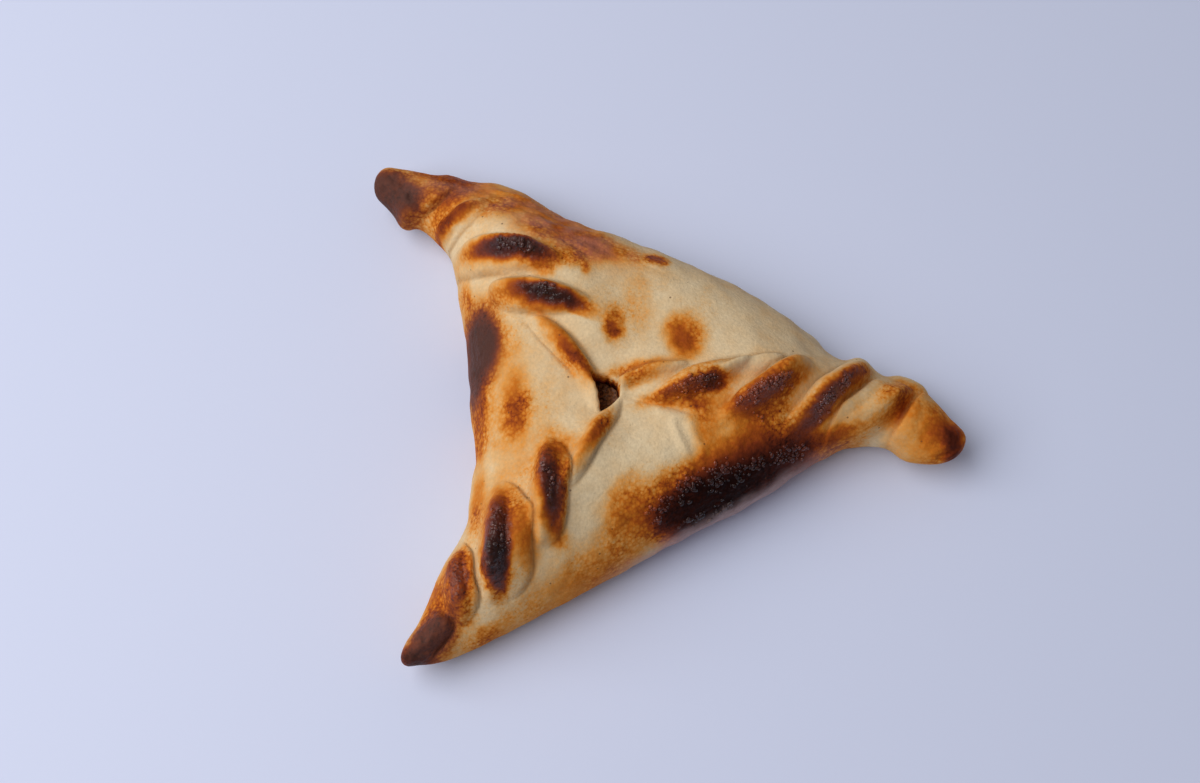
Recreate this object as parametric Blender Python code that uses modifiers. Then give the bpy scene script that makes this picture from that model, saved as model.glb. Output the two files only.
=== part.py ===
"""A sfiha: a baked, three-cornered meat pie, 126 mm long, lying on its flat base.

One round of dough is folded up over minced meat as three flaps. The flaps meet at a small
open hole, and the three seams between them are closed by overlapping pinched pleats that
run out to twisted corners. The crust is one solid with a space inside and the hole over it,
and the filling is a second solid that fills the space. Metres, +Z up, base on Z = 0.
"""

import bpy
import bmesh
import numpy as np

MM = 0.001

# The hole lies a little to the left of the middle of the box, and heights fall away from it.
HOLE = np.array([-12.0, -1.5]) * MM
BODY_HEIGHT = 24 * MM
TIP_HEIGHT = 10.5 * MM
BODY_RADIUS = 30 * MM
TIP_RADIUS = 68 * MM
EDGE_HEIGHT = 7 * MM
TIP_EDGE_HEIGHT = 5 * MM
TIP_LIFT = 4 * MM
ROUNDING = 19 * MM
BASE_ROUNDING = 6 * MM
CRUST_THICKNESS = 2.8 * MM
LIP_THICKENING = 1.5 * MM
BASE_THICKNESS = 2.6 * MM
GAP = 0.35 * MM

# Plan outline of the crust, clockwise from the right-hand corner.
OUTLINE = np.array([
    (63.1, -6.7), (61.2, -11.0), (56.5, -12.4), (50.7, -10.9), (46.1, -8.2), (41.5, -7.6),
    (32.4, -11.6), (18.8, -20.5), (1.9, -29.5), (-12.4, -37.7), (-28.0, -46.2), (-39.5, -52.0),
    (-48.6, -55.1), (-52.5, -54.8), (-52.5, -52.0), (-49.7, -47.0), (-47.2, -39.7),
    (-44.1, -33.4), (-40.6, -26.5), (-39.8, -18.2), (-39.1, -12.0), (-40.2, -1.5),
    (-41.1, 11.5), (-43.4, 25.1), (-45.5, 35.1), (-49.3, 40.4), (-53.0, 43.1), (-55.9, 42.8),
    (-58.6, 46.0), (-62.5, 51.4), (-61.2, 55.4), (-56.6, 56.0), (-50.0, 54.8), (-45.4, 54.8),
    (-41.0, 53.4), (-36.0, 53.0), (-31.5, 51.4), (-19.1, 43.3), (-4.3, 37.1), (7.3, 31.8),
    (20.8, 24.5), (32.3, 15.8), (37.8, 10.9), (42.8, 11.2), (46.6, 7.4), (50.8, 7.3),
    (54.6, 5.2), (57.0, 0.8), (59.9, -2.6),
]) * MM

# Plan outline of the filling, which stops short of the twisted corners.
FILLING_OUTLINE = np.array([
    (35, 1), (31.5, -4.5), (20, -12.5), (4, -21.5), (-12, -30.2), (-28, -38.5), (-37.5, -43),
    (-40.5, -41), (-38.5, -33), (-35, -21), (-34.6, -2), (-36, 11.5), (-38.5, 25), (-41, 35),
    (-44, 43.5), (-39.5, 46.5), (-31, 44.5), (-20, 37.4), (-5, 31), (7, 25), (17.5, 18.3),
    (27.5, 9.5),
]) * MM

# The hole where the three flaps meet, at the height of its rim.
HOLE_CORNERS = np.array([
    (-14.6, 0.7), (-11.6, 0.3), (-9.7, -0.9), (-8.9, -3.7), (-12.7, -7.1),
]) * MM

# The seams run from the hole to the corners, and the dough is gathered up along them.
SEAMS = {
    "A": ((-14, 3), (-23, 27), (-53, 49)),
    "B": ((-8, -2), (19, 2), (56, -6)),
    "C": ((-12, -7), (-24, -27), (-46, -51)),
}
SEAM_HEIGHT = 1.6 * MM
SEAM_SPREAD = 6 * MM

# Pleats along each seam from the hole outwards, in millimetres. The crest is a curve through
# three plan points, from where the pleat rises out of the seam to its rounded outer end.
# lip: reach to the free edge, on the left of the crest where side is 1, on the right at -1;
# bulb: half width of the round ridge; apron: the part of the height that reaches out to the
# free edge; back: reach of the slope behind; high: crest over the pie; thick: step down at the
# free edge; inner and outer: shares of the length over which the two ends taper; point: how
# pointed the inner end is, from round at 0.25 to sharp at 0.6.
PLEATS = [
    dict(name="A1", crest=((-13.0, -7.6), (-17.4, 3.4), (-27.5, 14.8)), side=-1, lip=1.9,
         bulb=1.8, apron=0.6, back=4.5, high=1.5, thick=1.2, inner=0.25, outer=0.45, point=0.5),
    dict(name="A2", crest=((-13.2, 15.4), (-24.2, 19.4), (-36.6, 21.4)), side=1, lip=4.8,
         bulb=3.1, apron=0.35, back=3.4, high=3.8, thick=1.2, inner=0.50, outer=0.32, point=0.6),
    dict(name="A3", crest=((-20.0, 26.0), (-31.2, 30.2), (-44.9, 33.0)), side=1, lip=5.8,
         bulb=3.1, apron=0.40, back=3.6, high=4.2, thick=1.2, inner=0.50, outer=0.28, point=0.5),
    dict(name="A4", crest=((-34.5, 47.2), (-43.2, 41.5), (-49.6, 38.4)), side=1, lip=3.4,
         bulb=2.3, apron=0.35, back=4.5, high=2.8, thick=1.0, inner=0.50, outer=0.30, point=0.5),
    dict(name="A5", crest=((-43.5, 50.6), (-50.6, 46.0), (-57.4, 43.0)), side=1, lip=1.3,
         bulb=3.0, apron=0.70, back=14, high=1.3, thick=1.4, inner=0.50, outer=0.12, point=0.5),
    dict(name="B0", crest=((-9.9, -2.1), (-4.8, 0.5), (5.0, 2.8)), side=1, lip=1.3,
         bulb=1.7, apron=0.60, back=3.5, high=1.4, thick=1.1, inner=0.25, outer=0.40, point=0.5),
    dict(name="B1", crest=((-3.4, -4.3), (6.2, -1.1), (17.5, 3.8)), side=1, lip=2.5,
         bulb=2.9, apron=0.40, back=5.0, high=3.6, thick=1.2, inner=0.45, outer=0.55, point=0.55),
    dict(name="B1 end", crest=((11.0, 0.6), (19.5, 3.3), (26.5, 4.3)), side=1, lip=1.3,
         bulb=1.8, apron=0.90, back=6.0, high=0.8, thick=1.2, inner=0.40, outer=0.30, point=0.5),
    dict(name="B2", crest=((9.4, -8.8), (20.0, -2.8), (30.2, 6.0)), side=1, lip=2.5,
         bulb=3.0, apron=0.40, back=6.0, high=4.2, thick=1.3, inner=0.50, outer=0.32, point=0.5),
    dict(name="B3", crest=((23.6, -10.2), (34.0, -1.6), (43.6, 8.2)), side=1, lip=2.9,
         bulb=3.0, apron=0.42, back=5.0, high=4.2, thick=1.3, inner=0.50, outer=0.26, point=0.5),
    dict(name="B4", crest=((33.2, -11.4), (42.9, -5.6), (51.2, 3.2)), side=1, lip=5.6,
         bulb=3.3, apron=0.50, back=4.2, high=3.2, thick=1.3, inner=0.40, outer=0.24, point=0.45),
    dict(name="B5", crest=((47.2, -10.2), (51.6, -4.4), (55.4, 2.0)), side=1, lip=1.3,
         bulb=2.6, apron=0.80, back=14, high=1.5, thick=1.3, inner=0.25, outer=0.25, point=0.4),
    dict(name="C1", crest=((-8.2, -3.2), (-14.8, -12.4), (-19.6, -23.4)), side=1, lip=1.6,
         bulb=1.7, apron=0.50, back=3.0, high=1.5, thick=1.3, inner=0.35, outer=0.35, point=0.5),
    dict(name="C2", crest=((-22.6, -13.0), (-24.8, -23.4), (-24.4, -35.2)), side=1, lip=5.2,
         bulb=2.9, apron=0.40, back=3.2, high=3.8, thick=1.3, inner=0.30, outer=0.35, point=0.28),
    dict(name="C3", crest=((-33.6, -20.8), (-34.9, -33.0), (-34.4, -45.0)), side=1, lip=8.2,
         bulb=3.1, apron=0.40, back=3.6, high=4.4, thick=1.4, inner=0.35, outer=0.28, point=0.28),
    dict(name="C4", crest=((-41.8, -31.0), (-42.8, -39.4), (-39.9, -48.4)), side=1, lip=4.5,
         bulb=2.7, apron=0.40, back=3.0, high=3.2, thick=1.2, inner=0.40, outer=0.26, point=0.3),
    dict(name="C5", crest=((-43.6, -45.8), (-47.6, -50.6), (-52.6, -55.0)), side=1, lip=2.6,
         bulb=2.8, apron=0.55, back=8.0, high=1.5, thick=1.3, inner=0.18, outer=0.30, point=0.3),
]

# Mesh settings.
OUTLINE_STEPS = 6
PLATE_THICKNESS = 1.6 * MM
PLATE_CELL = 0.8 * MM
CRUST_CELL = 0.8 * MM
CRUST_TRIANGLES = 8400
FILLING_CELL = 1.2 * MM
FILLING_TRIANGLES = 2300
MINCE_SEED = 11


def ease(low, high, value):
    """0 below low, 1 above high, with a smooth rise between."""
    share = np.clip((value - low) / (high - low), 0, 1)
    return share * share * (3 - 2 * share)


def soft_max(a, b, width):
    """The larger of the two, with the corner between them rounded over the width."""
    share = np.clip(0.5 + 0.5 * (a - b) / width, 0, 1)
    return b + (a - b) * share + width * share * (1 - share)


def vertices_of(mesh):
    flat = np.empty(len(mesh.vertices) * 3)
    mesh.vertices.foreach_get("co", flat)
    return flat.reshape(-1, 3)


def move_vertices(mesh, places):
    mesh.vertices.foreach_set("co", places.ravel())
    mesh.update()


def as_mesh_object(obj, name, collection):
    """A new mesh object made from an object with its modifiers; the first object is removed."""
    bpy.context.view_layer.update()
    graph = bpy.context.evaluated_depsgraph_get()
    mesh = bpy.data.meshes.new_from_object(obj.evaluated_get(graph))
    made = bpy.data.objects.new(name, mesh)
    made.matrix_world = obj.matrix_world
    collection.objects.link(made)
    bpy.data.objects.remove(obj)
    made.name = name
    return made


def weld(mesh):
    work = bmesh.new()
    work.from_mesh(mesh)
    bmesh.ops.remove_doubles(work, verts=work.verts, dist=0.02 * MM)
    work.to_mesh(mesh)
    work.free()


def outline_object(corners, half_thickness, collection):
    """A closed curve through the corners: a flat line, or a plate when it has thickness."""
    curve = bpy.data.curves.new("outline", "CURVE")
    curve.dimensions = "2D"
    curve.resolution_u = OUTLINE_STEPS
    curve.fill_mode = "BOTH" if half_thickness else "NONE"
    curve.extrude = half_thickness
    spline = curve.splines.new("BEZIER")
    spline.bezier_points.add(len(corners) - 1)
    for knot, (x, y) in zip(spline.bezier_points, corners):
        knot.co = (x, y, 0)
        knot.handle_left_type = "AUTO"
        knot.handle_right_type = "AUTO"
    spline.use_cyclic_u = True
    obj = bpy.data.objects.new("outline", curve)
    collection.objects.link(obj)
    return obj


def outline_points(corners, collection):
    """The plan points of the smooth closed curve through the corners."""
    line = as_mesh_object(outline_object(corners, 0, collection), "line", collection)
    points = vertices_of(line.data)[:, :2]
    bpy.data.objects.remove(line)
    return points


def remeshed(obj, cell, collection):
    """The object with its surface laid out again in even cells."""
    modifier = obj.modifiers.new("Remesh", "REMESH")
    modifier.mode = "VOXEL"
    modifier.voxel_size = cell
    return as_mesh_object(obj, obj.name, collection)


def decimated(obj, triangles, collection):
    modifier = obj.modifiers.new("Decimate", "DECIMATE")
    modifier.ratio = triangles / (2 * len(obj.data.polygons))
    return as_mesh_object(obj, obj.name, collection)


def edge_distance(plan, outline):
    """For plan points: a distance from the outline that stays smooth in the middle of the
    shape, the plain distance, and the way to the nearest outline point."""
    start = outline
    step = np.roll(outline, -1, axis=0) - start
    length = np.hypot(step[:, 0], step[:, 1])
    middle = start + step / 2
    soft = np.empty(len(plan))
    near = np.empty(len(plan))
    toward = np.empty((len(plan), 2))
    for first in range(0, len(plan), 4000):
        some = plan[first:first + 4000]
        offset = some[:, None] - start[None]
        share = np.clip((offset * step).sum(2) / length**2, 0, 1)
        gap = share[:, :, None] * step - offset
        far = np.hypot(gap[:, :, 0], gap[:, :, 1])
        closest = far.argmin(axis=1)
        rows = np.arange(len(some))
        near[first:first + 4000] = far[rows, closest]
        toward[first:first + 4000] = gap[rows, closest]
        square = ((some[:, None] - middle[None])**2).sum(2)
        soft[first:first + 4000] = ((length / square**2).sum(1) / (np.pi / 2))**(-1 / 3)
    blend = ease(0.6 * MM, 3 * MM, near)
    return near + (soft - near) * blend, near, toward


def hole_radius(plan):
    return np.hypot(plan[:, 0] - HOLE[0], plan[:, 1] - HOLE[1])


def lift(plan):
    """How far the corners curl up off the table."""
    return TIP_LIFT * ease(48 * MM, 78 * MM, hole_radius(plan))


def edge_height(plan):
    return EDGE_HEIGHT + (TIP_EDGE_HEIGHT - EDGE_HEIGHT) * ease(40 * MM, 70 * MM, hole_radius(plan))


def crust_top(plan, depth):
    """Height of the smooth pie at plan points that lie depth inside its outline."""
    outward = ease(BODY_RADIUS, TIP_RADIUS, hole_radius(plan))
    full = BODY_HEIGHT + (TIP_HEIGHT - BODY_HEIGHT) * outward
    dome = np.sqrt(1 - (1 - np.clip(depth / ROUNDING, 0, 1))**2.2) * (1 + 0.35 * outward)
    waist = edge_height(plan)
    return lift(plan) + waist + (full - waist) * dome


def crust_bottom(plan, depth):
    curl = 1 - np.sqrt(1 - (1 - np.clip(depth / BASE_ROUNDING, 0, 1))**2)
    return lift(plan) + edge_height(plan) * curl


def inflated(name, corners, top_height, bottom_height, squeeze, cell, collection):
    """A solid over a plan outline: a thin plate of that outline, whose upper and lower faces
    are moved to the two heights. Rows of cells crowd towards the edge, where it is steep."""
    outline = outline_points(corners, collection)
    plate = as_mesh_object(outline_object(corners, PLATE_THICKNESS / 2, collection), name, collection)
    weld(plate.data)
    plate = remeshed(plate, PLATE_CELL, collection)
    places = vertices_of(plate.data)
    plan = places[:, :2].copy()
    _, near, toward = edge_distance(plan, outline)
    crowded = squeeze * (1 - np.cos(np.pi / 2 * np.clip(near / squeeze, 0, 1)))
    pull = np.where(near < squeeze, near - crowded, 0) / np.maximum(near, 1e-9)
    plan += toward * pull[:, None]
    depth = edge_distance(plan, outline)[0]
    level = np.clip(places[:, 2] / (PLATE_THICKNESS / 2), -1, 1)
    waist = bottom_height(plan, 0 * depth)
    rise = np.maximum(top_height(plan, depth) - waist, 0.4 * MM)
    fall = np.maximum(waist - bottom_height(plan, depth), 0.4 * MM)
    height = waist + np.where(level > 0, rise, fall) * level
    move_vertices(plate.data, np.column_stack([plan, height]))
    return remeshed(plate, cell, collection)


def curve_through(start, middle, end, count):
    """Points along a parabola through three plan points."""
    start, middle, end = (np.array(point) * MM for point in (start, middle, end))
    bend = 2 * middle - (start + end) / 2
    share = np.linspace(0, 1, count)[:, None]
    return (1 - share)**2 * start + 2 * share * (1 - share) * bend + share**2 * end


def along_and_across(plan, line):
    """Where plan points lie beside a line: share of its length, and distance to its left."""
    step = line[1:] - line[:-1]
    along = np.zeros(len(plan))
    across = np.full(len(plan), np.inf)
    for index, (origin, way) in enumerate(zip(line[:-1], step)):
        offset = plan - origin
        share = np.clip(offset @ way / (way @ way), 0, 1)
        gap = offset - share[:, None] * way
        distance = np.hypot(gap[:, 0], gap[:, 1])
        closer = distance < np.abs(across)
        left = way[0] * offset[:, 1] - way[1] * offset[:, 0] > 0
        across = np.where(closer, np.where(left, distance, -distance), across)
        along = np.where(closer, (index + share) / len(step), along)
    return along, across


def seam_height(plan):
    """The broad ridge of gathered dough along the three seams."""
    height = np.zeros(len(plan))
    for ends in SEAMS.values():
        along, across = along_and_across(plan, curve_through(*ends, 24))
        ridge = np.exp(-(across / SEAM_SPREAD)**2) * ease(0, 0.15, along) * (1 - ease(0.75, 1, along))
        height = np.maximum(height, SEAM_HEIGHT * ridge)
    return height


def add_pleats(plan, height):
    """Heights with the pleats laid over them, each pleat over the outer end of the one before."""
    smooth_pie = height.copy()
    for pleat in PLEATS:
        along, across = along_and_across(plan, curve_through(*pleat["crest"], 24))
        across = across * pleat["side"]
        rise = ease(0, pleat["inner"], along)
        end = np.sqrt(1 - (1 - np.clip((1 - along) / pleat["outer"], 0, 1))**2)
        full = rise**pleat["point"] * end
        lip = pleat["lip"] * MM * full + 0.01 * MM
        bulb = pleat["bulb"] * MM * full + 0.01 * MM
        ridge = np.maximum(1 - (across / bulb)**2, 0)
        out = np.clip(across / lip, 0, 1)
        apron = np.where(across > 0, np.sqrt(1 - out**4), 1 - ease(0, pleat["back"] * MM, -across))
        body = (1 - pleat["apron"]) * ridge + pleat["apron"] * apron
        layer = pleat["thick"] * MM * full
        layer = layer * (1 - ease(0, 0.6 * pleat["back"] * MM, -across))
        layer = layer * (1 - ease(lip, lip + 0.6 * MM, across))
        crease = np.exp(-((across - lip - 0.7 * MM) / (0.4 * MM))**2)
        height = soft_max(height, smooth_pie + pleat["high"] * MM * rise * end * body, 0.5 * MM)
        height = height + layer - 0.3 * MM * full * crease
    return height


def crust_shape(collection):
    """The outside of the crust, as a closed solid."""
    crust = inflated("crust", OUTLINE, crust_top, crust_bottom, 5 * MM, CRUST_CELL, collection)
    places = vertices_of(crust.data)
    plan = places[:, :2]
    depth = edge_distance(plan, outline_points(OUTLINE, collection))[0]
    smooth_top = crust_top(plan, depth)
    raised = add_pleats(plan, smooth_top + seam_height(plan)) - smooth_top
    middle = (smooth_top + crust_bottom(plan, depth)) / 2
    share = ease(0, 1, (places[:, 2] - middle) / np.maximum(smooth_top - middle, 1 * MM))
    places[:, 2] += raised * share
    move_vertices(crust.data, places)
    crust = decimated(crust, CRUST_TRIANGLES, collection)
    places = vertices_of(crust.data)
    places[:, 2] = np.where(places[:, 2] < 0.25 * MM, 0, places[:, 2])
    move_vertices(crust.data, places)
    return crust


def crust_wall(plan):
    """Thickness of the dough over the filling: two flaps lie over each other at the hole."""
    return CRUST_THICKNESS + LIP_THICKENING * np.exp(-(hole_radius(plan) / (12 * MM))**2)


def filling_shape(collection):
    """The filling as a smooth solid, one crust thickness inside the pie."""
    pie_outline = outline_points(OUTLINE, collection)

    def top(plan, depth):
        dome = np.sqrt(1 - (1 - np.clip(depth / (16 * MM), 0, 1))**2.2)
        roof = crust_top(plan, edge_distance(plan, pie_outline)[0]) - crust_wall(plan)
        own = EDGE_HEIGHT + (BODY_HEIGHT - EDGE_HEIGHT) * dome
        return -soft_max(-own, -roof, 1 * MM)

    def bottom(plan, depth):
        curl = 1 - np.sqrt(1 - (1 - np.clip(depth / BASE_ROUNDING, 0, 1))**2)
        return BASE_THICKNESS + (EDGE_HEIGHT - BASE_THICKNESS) * curl

    return inflated("filling", FILLING_OUTLINE, top, bottom, 4 * MM, FILLING_CELL, collection)


def crumble(filling):
    """Mince under the hole: lumps about 2 mm across, cut down from the smooth surface."""
    places = vertices_of(filling.data)
    radius = hole_radius(places[:, :2])
    chance = np.random.default_rng(MINCE_SEED)
    lumps = HOLE + chance.uniform(-8, 8, (70, 2)) * MM
    gap = np.sqrt(((places[:, None, :2] - lumps[None])**2).sum(2).min(1))
    dent = np.clip(gap / (1.3 * MM), 0, 1)**2 * 0.8 * MM
    on_top = places[:, 2] > BODY_HEIGHT / 2
    places[:, 2] -= dent * on_top * (1 - ease(6 * MM, 9 * MM, radius))
    move_vertices(filling.data, places)


def cut(obj, cutter):
    modifier = obj.modifiers.new("Cut " + cutter.name, "BOOLEAN")
    modifier.operation = "DIFFERENCE"
    modifier.solver = "EXACT"
    modifier.object = cutter


def as_cutter(obj):
    obj.hide_render = True
    obj.display_type = "WIRE"


def dough_material(name, colour, roughness):
    material = bpy.data.materials.new(name)
    material.use_nodes = True
    shader = material.node_tree.nodes["Principled BSDF"]
    shader.inputs["Base Color"].default_value = (*colour, 1)
    shader.inputs["Roughness"].default_value = roughness
    shader.inputs["Metallic"].default_value = 0
    material.diffuse_color = (*colour, 1)
    return material


for old in list(bpy.data.objects):
    bpy.data.objects.remove(old)
scene = bpy.context.scene
parts = bpy.data.collections.new("sfiha")
cutters = bpy.data.collections.new("cutters")
scene.collection.children.link(parts)
scene.collection.children.link(cutters)

crust = crust_shape(parts)
filling = decimated(filling_shape(parts), FILLING_TRIANGLES, parts)

# The space for the filling is the filling itself, grown by the gap.
space = bpy.data.objects.new("filling space", filling.data.copy())
cutters.objects.link(space)
grow = space.modifiers.new("Grow", "DISPLACE")
grow.strength = GAP
grow.mid_level = 0
space = as_mesh_object(space, "filling space", cutters)
as_cutter(space)
crumble(filling)

# The hole is a shaft with five sides, from above the rim down into that space.
shaft = outline_object(HOLE_CORNERS, 6 * MM, cutters)
for knot in shaft.data.splines[0].bezier_points:
    knot.handle_left_type = "VECTOR"
    knot.handle_right_type = "VECTOR"
shaft.location.z = BODY_HEIGHT + 0.5 * MM
shaft = as_mesh_object(shaft, "hole shaft", cutters)
weld(shaft.data)
as_cutter(shaft)

cut(crust, space)
cut(crust, shaft)

crust.data.materials.append(dough_material("baked dough", (0.60, 0.34, 0.13), 0.55))
filling.data.materials.append(dough_material("minced meat", (0.09, 0.03, 0.012), 0.5))
for piece in (crust, filling):
    piece.data.shade_smooth()
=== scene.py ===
import math
import bmesh
import bpy
import mathutils
import numpy as np
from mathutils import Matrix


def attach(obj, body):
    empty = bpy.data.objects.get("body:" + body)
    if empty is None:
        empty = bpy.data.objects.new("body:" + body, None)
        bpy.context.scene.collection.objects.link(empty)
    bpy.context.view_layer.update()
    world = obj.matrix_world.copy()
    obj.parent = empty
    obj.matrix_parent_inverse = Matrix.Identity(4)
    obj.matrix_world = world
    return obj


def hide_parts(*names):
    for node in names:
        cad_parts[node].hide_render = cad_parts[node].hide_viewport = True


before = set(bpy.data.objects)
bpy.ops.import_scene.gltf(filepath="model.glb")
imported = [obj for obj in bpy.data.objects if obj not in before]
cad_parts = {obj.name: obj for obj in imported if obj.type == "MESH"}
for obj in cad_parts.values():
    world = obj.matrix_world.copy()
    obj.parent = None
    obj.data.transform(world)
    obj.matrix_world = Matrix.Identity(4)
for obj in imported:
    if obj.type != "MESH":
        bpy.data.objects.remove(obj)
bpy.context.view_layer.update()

# ---------------------------------------------------------------------------
# The table and the light: a sheet of bluish-white paper on a table. One broad window stands to
# the left, so shadows fall softly to the right, and the room fills them in weakly.

MM = 0.001

PAPER_WHITE = (0.675, 0.722, 0.925)
PAPER_ROUGHNESS = 0.7
PAPER_REACH = 1.5
WINDOW_COLOUR = (1.0, 0.99, 0.97)
WINDOW_AZIMUTH = math.radians(184)
WINDOW_HEIGHT = math.radians(53)
WINDOW_DISTANCE = 0.86
WINDOW_SIDE = 0.85
WINDOW_WATTS = 7.3
ROOM_GLOW = (0.200, 0.205, 0.220)

CAMERA_HEIGHT = math.radians(68)
CAMERA_LENS = 60
CAMERA_SENSOR = 36
CAMERA_NEAREST = 0.01
CAMERA_DISTANCE = 0.4082
CAMERA_AIM = mathutils.Vector((-13.0, -1.8, 21.9)) * MM


def in_scene(name, data):
    """A new object of the scene that holds the data."""
    made = bpy.data.objects.new(name, data)
    bpy.context.scene.collection.objects.link(made)
    return made


def new_material(name):
    """A new material, its tree and its shader."""
    material = bpy.data.materials.new(name)
    material.use_nodes = True
    return material, material.node_tree, material.node_tree.nodes["Principled BSDF"]


paper_white, _, shader = new_material("paper white")
shader.inputs["Base Color"].default_value = (*PAPER_WHITE, 1)
shader.inputs["Roughness"].default_value = PAPER_ROUGHNESS
paper_mesh = bpy.data.meshes.new("paper")
work = bmesh.new()
bmesh.ops.create_grid(work, x_segments=1, y_segments=1, size=PAPER_REACH)
work.to_mesh(paper_mesh)
work.free()
paper = in_scene("paper", paper_mesh)
paper.data.materials.append(paper_white)

window_light = bpy.data.lights.new("window", "AREA")
window_light.shape = "SQUARE"
window_light.size = WINDOW_SIDE
window_light.energy = WINDOW_WATTS
window_light.color = WINDOW_COLOUR
window = in_scene("window", window_light)
window_way = mathutils.Vector((
    math.cos(WINDOW_AZIMUTH) * math.cos(WINDOW_HEIGHT),
    math.sin(WINDOW_AZIMUTH) * math.cos(WINDOW_HEIGHT),
    math.sin(WINDOW_HEIGHT),
))
window.location = window_way * WINDOW_DISTANCE
window.rotation_euler = window_way.to_track_quat("Z", "Y").to_euler()

room = bpy.data.worlds.new("room")
room.use_nodes = True
room.node_tree.nodes["Background"].inputs["Color"].default_value = (*ROOM_GLOW, 1)
bpy.context.scene.world = room
bpy.context.scene.view_settings.view_transform = "Standard"

camera_data = bpy.data.cameras.new("camera")
camera_data.lens = CAMERA_LENS
camera_data.sensor_width = CAMERA_SENSOR
camera_data.clip_start = CAMERA_NEAREST
camera = in_scene("camera", camera_data)
camera_way = mathutils.Vector((0, -math.cos(CAMERA_HEIGHT), math.sin(CAMERA_HEIGHT)))
camera.location = CAMERA_AIM + camera_way * CAMERA_DISTANCE
camera.rotation_euler = camera_way.to_track_quat("Z", "Y").to_euler()
bpy.context.scene.camera = camera

# ---------------------------------------------------------------------------
# The crust: one round of yeasted dough, rolled 2 to 3 mm thick and folded up over the filling
# as three flaps. They meet at a small open triangle, and fingertip pleats close each seam from
# there to a corner, each laid over the outer end of the one before.

# The smooth pie under the pleats: its full height and the height of its widest line, in the
# body and at the corners, with the distances from the hole between which the one turns into
# the other; how far the corners lift; then how top and base are rounded towards the edge.
HOLE = np.array([-12.0, -1.5]) * MM
BODY_HEIGHT = 24 * MM
TIP_HEIGHT = 10.5 * MM
BODY_RADIUS = 30 * MM
TIP_RADIUS = 68 * MM
EDGE_HEIGHT = 7 * MM
TIP_EDGE_HEIGHT = 5 * MM
EDGE_RADII = (40 * MM, 70 * MM)
TIP_LIFT = 4 * MM
LIFT_RADII = (48 * MM, 78 * MM)
ROUNDING = 19 * MM
ROUNDING_POWER = 2.2
TIP_PLUMPNESS = 0.35
BASE_ROUNDING = 6 * MM

# Plan outline, clockwise from the right-hand corner.
OUTLINE = np.array([
    (63.1, -6.7), (61.2, -11.0), (56.5, -12.4), (50.7, -10.9), (46.1, -8.2), (41.5, -7.6),
    (32.4, -11.6), (18.8, -20.5), (1.9, -29.5), (-12.4, -37.7), (-28.0, -46.2), (-39.5, -52.0),
    (-48.6, -55.1), (-52.5, -54.8), (-52.5, -52.0), (-49.7, -47.0), (-47.2, -39.7),
    (-44.1, -33.4), (-40.6, -26.5), (-39.8, -18.2), (-39.1, -12.0), (-40.2, -1.5),
    (-41.1, 11.5), (-43.4, 25.1), (-45.5, 35.1), (-49.3, 40.4), (-53.0, 43.1), (-55.9, 42.8),
    (-58.6, 46.0), (-62.5, 51.4), (-61.2, 55.4), (-56.6, 56.0), (-50.0, 54.8), (-45.4, 54.8),
    (-41.0, 53.4), (-36.0, 53.0), (-31.5, 51.4), (-19.1, 43.3), (-4.3, 37.1), (7.3, 31.8),
    (20.8, 24.5), (32.3, 15.8), (37.8, 10.9), (42.8, 11.2), (46.6, 7.4), (50.8, 7.3),
    (54.6, 5.2), (57.0, 0.8), (59.9, -2.6),
]) * MM

# The seams run from the hole to the corners, and the dough is gathered up along them.
SEAMS = {
    "A": ((-14, 3), (-23, 27), (-53, 49)),
    "B": ((-8, -2), (19, 2), (56, -6)),
    "C": ((-12, -7), (-24, -27), (-46, -51)),
}
SEAM_HEIGHT = 1.6 * MM
SEAM_SPREAD = 6 * MM
SEAM_STEPS = 24

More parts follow.
